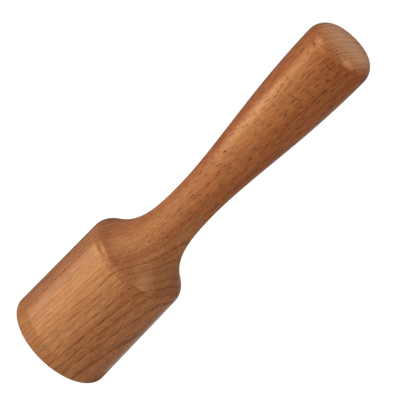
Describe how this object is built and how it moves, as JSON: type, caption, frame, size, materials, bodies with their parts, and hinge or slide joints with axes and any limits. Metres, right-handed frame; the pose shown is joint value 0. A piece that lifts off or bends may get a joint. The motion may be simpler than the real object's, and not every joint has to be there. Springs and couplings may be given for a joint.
{
  "type": "nutcracker",
  "caption": "One-piece turned wooden pounding nutcracker: a heavy drum head with a flat striking face, a narrow neck and a swelling rounded grip.",
  "frame": {"origin": "centre of the flat striking face, which is also the face that the pounder stands on", "axes": "+Z along the turning axis, from the striking face up the grip to the butt; X and Y are alike"},
  "size_m": [0.065, 0.065, 0.25],
  "materials": {
    "beech": "satin"
  },
  "bodies": {
    "root": {"pounder": "beech"}
  },
  "joints": []
}
